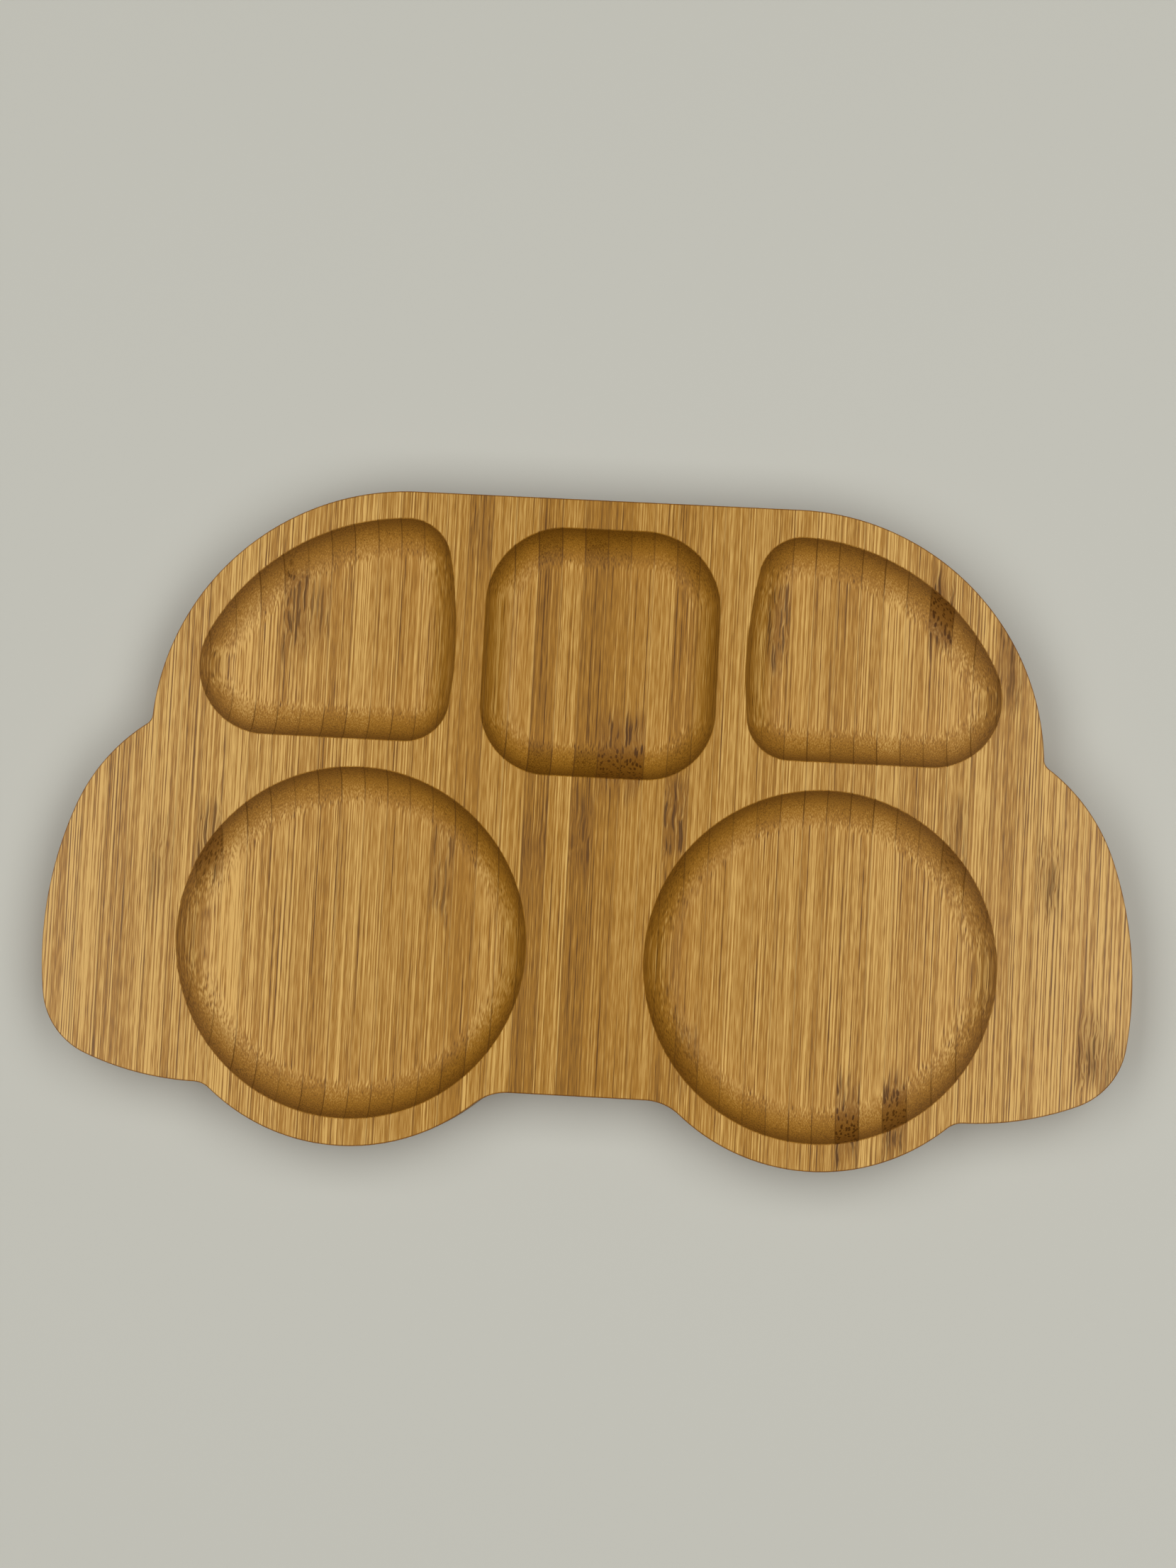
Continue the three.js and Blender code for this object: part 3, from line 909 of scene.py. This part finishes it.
# Real stains and painted light are laid over the wood in turn.
for amount, overlay_colour in stains_and_painted_light:
    wood = add(tree, "ShaderNodeMix", {"Factor": amount, "A": wood, "B": linear(overlay_colour)}, data_type="RGBA")
    wood = wood.outputs["Result"]
rough = add(tree, "ShaderNodeMapRange", {"Value": fine, "To Min": GROUND_ROUGH, "To Max": FIBRE_ROUGH})
pits = add(tree, "ShaderNodeMath", {0: bundle, 1: end_grain}, operation="MULTIPLY")
relief = add(tree, "ShaderNodeMath", {0: pits, 1: -PIT, 2: fine}, operation="MULTIPLY_ADD")
bump = add(tree, "ShaderNodeBump", {"Strength": RELIEF_SHOWS, "Distance": RELIEF, "Height": relief})
surface = add(
    tree,
    "ShaderNodeBsdfPrincipled",
    {
        "Base Color": wood,
        "Roughness": rough,
        "Normal": bump,
        "IOR": WOOD_IOR,
        "Specular IOR Level": SHEEN,
    },
)
add(tree, "ShaderNodeOutputMaterial", {"Surface": surface})
for strip in strips:
    strip.data.materials.append(bamboo)
print(f"{bamboo.name}: {len(tree.nodes)} nodes on {len(strips)} strips")

# %% [markdown]
# ## Table
#
# The tray lies on a pale table top. A backdrop that curves up would hide the horizon in low views, but the
# main view looks straight down, so one large level face is enough. It lies a hair under the tray, because two
# faces in one plane flicker.

# %% Table
TABLE_REACH = 1.5  # metres each way, past every edge of the picture
TABLE_GAP = 0.1 * MM
TABLE_ROUGH = 0.7
floor_corners = [(-1, -1, 0), (1, -1, 0), (1, 1, 0), (-1, 1, 0)]
floor_mesh = bpy.data.meshes.new("floor")
floor_mesh.from_pydata([Vector(corner) * TABLE_REACH for corner in floor_corners], [], [(0, 1, 2, 3)])
floor = bpy.data.objects.new("floor", floor_mesh)
floor.location.z = -TABLE_GAP
bpy.context.scene.collection.objects.link(floor)
# Matt laminate, pressed against a dull plate: a pale warm grey with no mirror image in it.
laminate = bpy.data.materials.new("matt_table_laminate")
laminate.use_nodes = True
laminate_surface = laminate.node_tree.nodes["Principled BSDF"].inputs
laminate_surface["Base Color"].default_value = linear("#c3c2b8")
laminate_surface["Roughness"].default_value = TABLE_ROUGH
floor_mesh.materials.append(laminate)
print(f"floor of {laminate.name}, {2 * TABLE_REACH} m wide")

# %% [markdown]
# ## Room
#
# A dim room fills the shadows a little. An image of a room would give reflections that this low sheen can't
# show, so plain colour is enough. Where the camera looks past the table it sees a pale backdrop, and the same
# pale light comes from below, which shows the underside when the table is taken away. While the table is
# there, it keeps that light off the tray.

# %% Room
ROOM_LIGHT = 0.06
BACKDROP = 0.8
room = bpy.data.worlds.new("room")
room.use_nodes = True
air = room.node_tree
air.nodes.clear()
seen = add(air, "ShaderNodeLightPath", {}).outputs["Is Camera Ray"]
direction = add(air, "ShaderNodeTexCoord", {}).outputs["Generated"]
height = add(air, "ShaderNodeSeparateXYZ", {0: direction}).outputs["Z"]
below = add(air, "ShaderNodeMath", {0: height, 1: 0}, operation="LESS_THAN")
bright = add(air, "ShaderNodeMath", {0: seen, 1: below}, operation="MAXIMUM")
strength = add(air, "ShaderNodeMapRange", {"Value": bright, "To Min": ROOM_LIGHT, "To Max": BACKDROP})
backdrop = add(air, "ShaderNodeBackground", {"Color": linear("#f6f3ec"), "Strength": strength})
add(air, "ShaderNodeOutputWorld", {"Surface": backdrop})
bpy.context.scene.world = room
print(f"room light {ROOM_LIGHT}, backdrop {BACKDROP}")

# %% [markdown]
# ## Soft boxes
#
# Two wide soft boxes hang over the ends of the tray, with a dark gap between them. They light the floors of
# the wells evenly and leave the steep walls dark, and their reflections lie on the ends and not on the
# middle. A single sun would draw hard shadows in the wells.

# %% Soft boxes
BOX_SIZE = (1.0, 2.0)  # metres along the car and across it
BOX_HEIGHT = 1.2
BOXES = {"left_soft_box": (-0.74, 13.8), "right_soft_box": (0.64, 15.4)}  # metres along the car, watts
for name, (x, watts) in BOXES.items():
    light = bpy.data.lights.new(name, "AREA")
    light.energy = watts
    light.shape = "RECTANGLE"
    light.size, light.size_y = BOX_SIZE
    lamp = bpy.data.objects.new(name, light)
    lamp.location = (x, 0, BOX_HEIGHT)
    bpy.context.scene.collection.objects.link(lamp)
    print(f"{name}: {watts} W")

# %% [markdown]
# ## Camera
#
# The view is from almost straight above, a little to the right of the middle and towards the wheels. The
# camera could be aimed with a constraint, but that would level it, and this view is turned a little. So its
# place and turn are given. The focal length is known in pixels of the picture, and a vertical sensor fit
# turns it into millimetres.

# %% Camera
PICTURE_HEIGHT = 2212  # pixels
FOCAL_LENGTH = 4900  # pixels
SENSOR = 36  # mm
CAMERA_PLACE = (33.9, -38.2, 859)  # mm from the middle of the tray's top
CAMERA_TURN = (3.386, 2.174, 3.059)  # degrees
camera_data = bpy.data.cameras.new("camera")
camera_data.sensor_fit = "VERTICAL"
camera_data.sensor_height = SENSOR
camera_data.lens = FOCAL_LENGTH / PICTURE_HEIGHT * SENSOR
camera = bpy.data.objects.new("camera", camera_data)
camera.location = (Vector(CAMERA_PLACE) + Vector((0, 0, THICKNESS))) * MM
camera.rotation_euler = [math.radians(turn) for turn in CAMERA_TURN]
bpy.context.scene.collection.objects.link(camera)
bpy.context.scene.camera = camera
bpy.context.scene.view_settings.view_transform = "Standard"
print(f"camera: {camera_data.lens:.1f} mm lens, {camera.location.z:.2f} m above the table")
